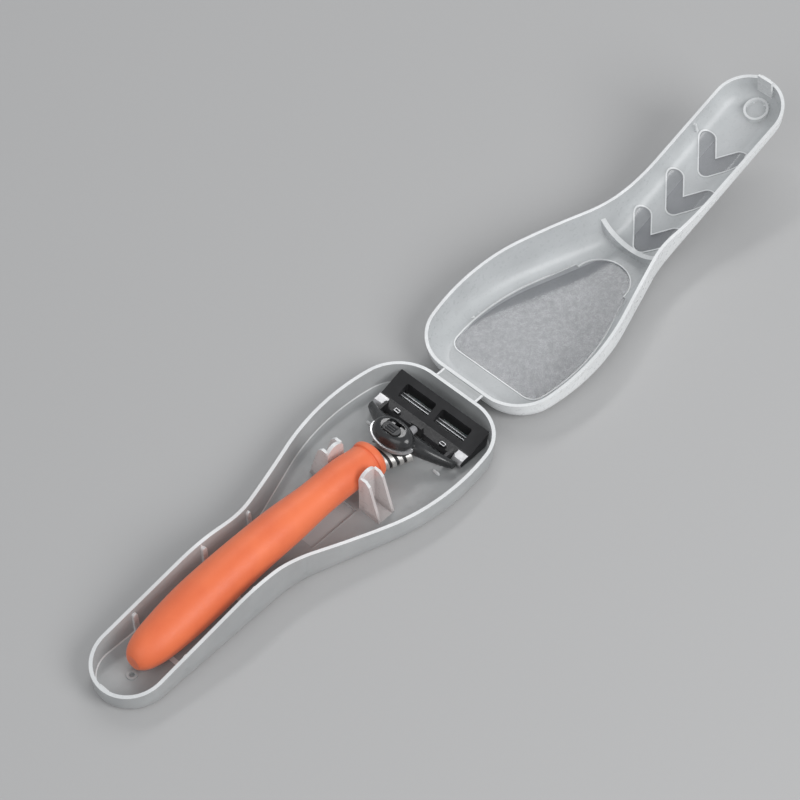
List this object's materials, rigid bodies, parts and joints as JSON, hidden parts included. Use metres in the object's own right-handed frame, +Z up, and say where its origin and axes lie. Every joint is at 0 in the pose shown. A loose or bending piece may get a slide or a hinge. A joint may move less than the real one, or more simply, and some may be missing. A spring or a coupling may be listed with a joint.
{
  "type": "razor travel case",
  "caption": "Paddle-shaped razor case, lying open: a tray and an arched lid share one living hinge, and a cartridge razor lies in the tray between clip posts.",
  "frame": {"origin": "middle of the open case's footprint, on the table under it", "axes": "+X runs from the tray's tail to the open lid's tail, Y lies along the hinge, +Z is up"},
  "size_m": [0.3416, 0.0596, 0.0399],
  "materials": {
    "case_plastic": "milky translucent polypropylene",
    "grip_rubber": "soft matte",
    "core_plastic": "moulded",
    "bright_metal": "plated",
    "ring_rubber": "matte",
    "head_plastic": "polished",
    "button_plastic": "satin",
    "spring_steel": "drawn wire",
    "cartridge_plastic": "satin",
    "blade_steel": "ground",
    "lube_polymer": "waxy",
    "guard_rubber": "soft",
    "clip_metal": "bare"
  },
  "bodies": {
    "tray": {"tray": "case_plastic", "hinge_web": "case_plastic"},
    "lid": {"lid": "case_plastic"},
    "razor": {"handle_core": "core_plastic", "handle_grip": "grip_rubber", "neck_sleeve": "bright_metal", "neck_rings": "ring_rubber", "hub_housing": "head_plastic", "hub_trim": "bright_metal", "yoke": "head_plastic", "button_spring": "spring_steel", "plunger_spring": "spring_steel"},
    "button": {"release_button": "button_plastic", "ejector": "core_plastic"},
    "plunger": {"plunger": "core_plastic"},
    "cartridge": {"cartridge_frame": "cartridge_plastic", "blade_1": "blade_steel", "blade_2": "blade_steel", "blade_3": "blade_steel", "blade_4": "blade_steel", "blade_5": "blade_steel", "lubricating_strip": "lube_polymer", "guard_strip": "guard_rubber", "clip_far": "clip_metal", "clip_near": "clip_metal"}
  },
  "joints": [
    {"name": "lid_hinge", "type": "hinge", "parent": "tray", "child": "lid", "pos_m": [0.00096, 0, 0.0102], "axis": [0, -1, 0], "range_deg": [0, 171.93], "deforming": ["hinge_web"]},
    {"name": "razor_lift", "type": "slide", "parent": "tray", "child": "razor", "axis": [0, 0, 1], "range_m": [0, 0.09]},
    {"name": "cartridge_pivot", "type": "hinge", "parent": "razor", "child": "cartridge", "pos_m": [-0.02344, 0, 0.00445], "axis": [0, -1, 0], "range_deg": [0, 20], "stiffness_Nm_per_rad": 0.03, "deforming": ["plunger_spring"]},
    {"name": "button_slide", "type": "slide", "parent": "razor", "child": "button", "axis": [1, 0, 0], "range_m": [0, 0.0018], "stiffness_N_per_m": 400, "deforming": ["button_spring"]},
    {"name": "plunger_slide", "type": "slide", "parent": "razor", "child": "plunger", "axis": [-1, 0, 0], "range_m": [0, 0.0011]}
  ],
  "couplings": [
    {"joint": "plunger_slide", "follows": "cartridge_pivot", "m_per_rad": 0.003}
  ]
}
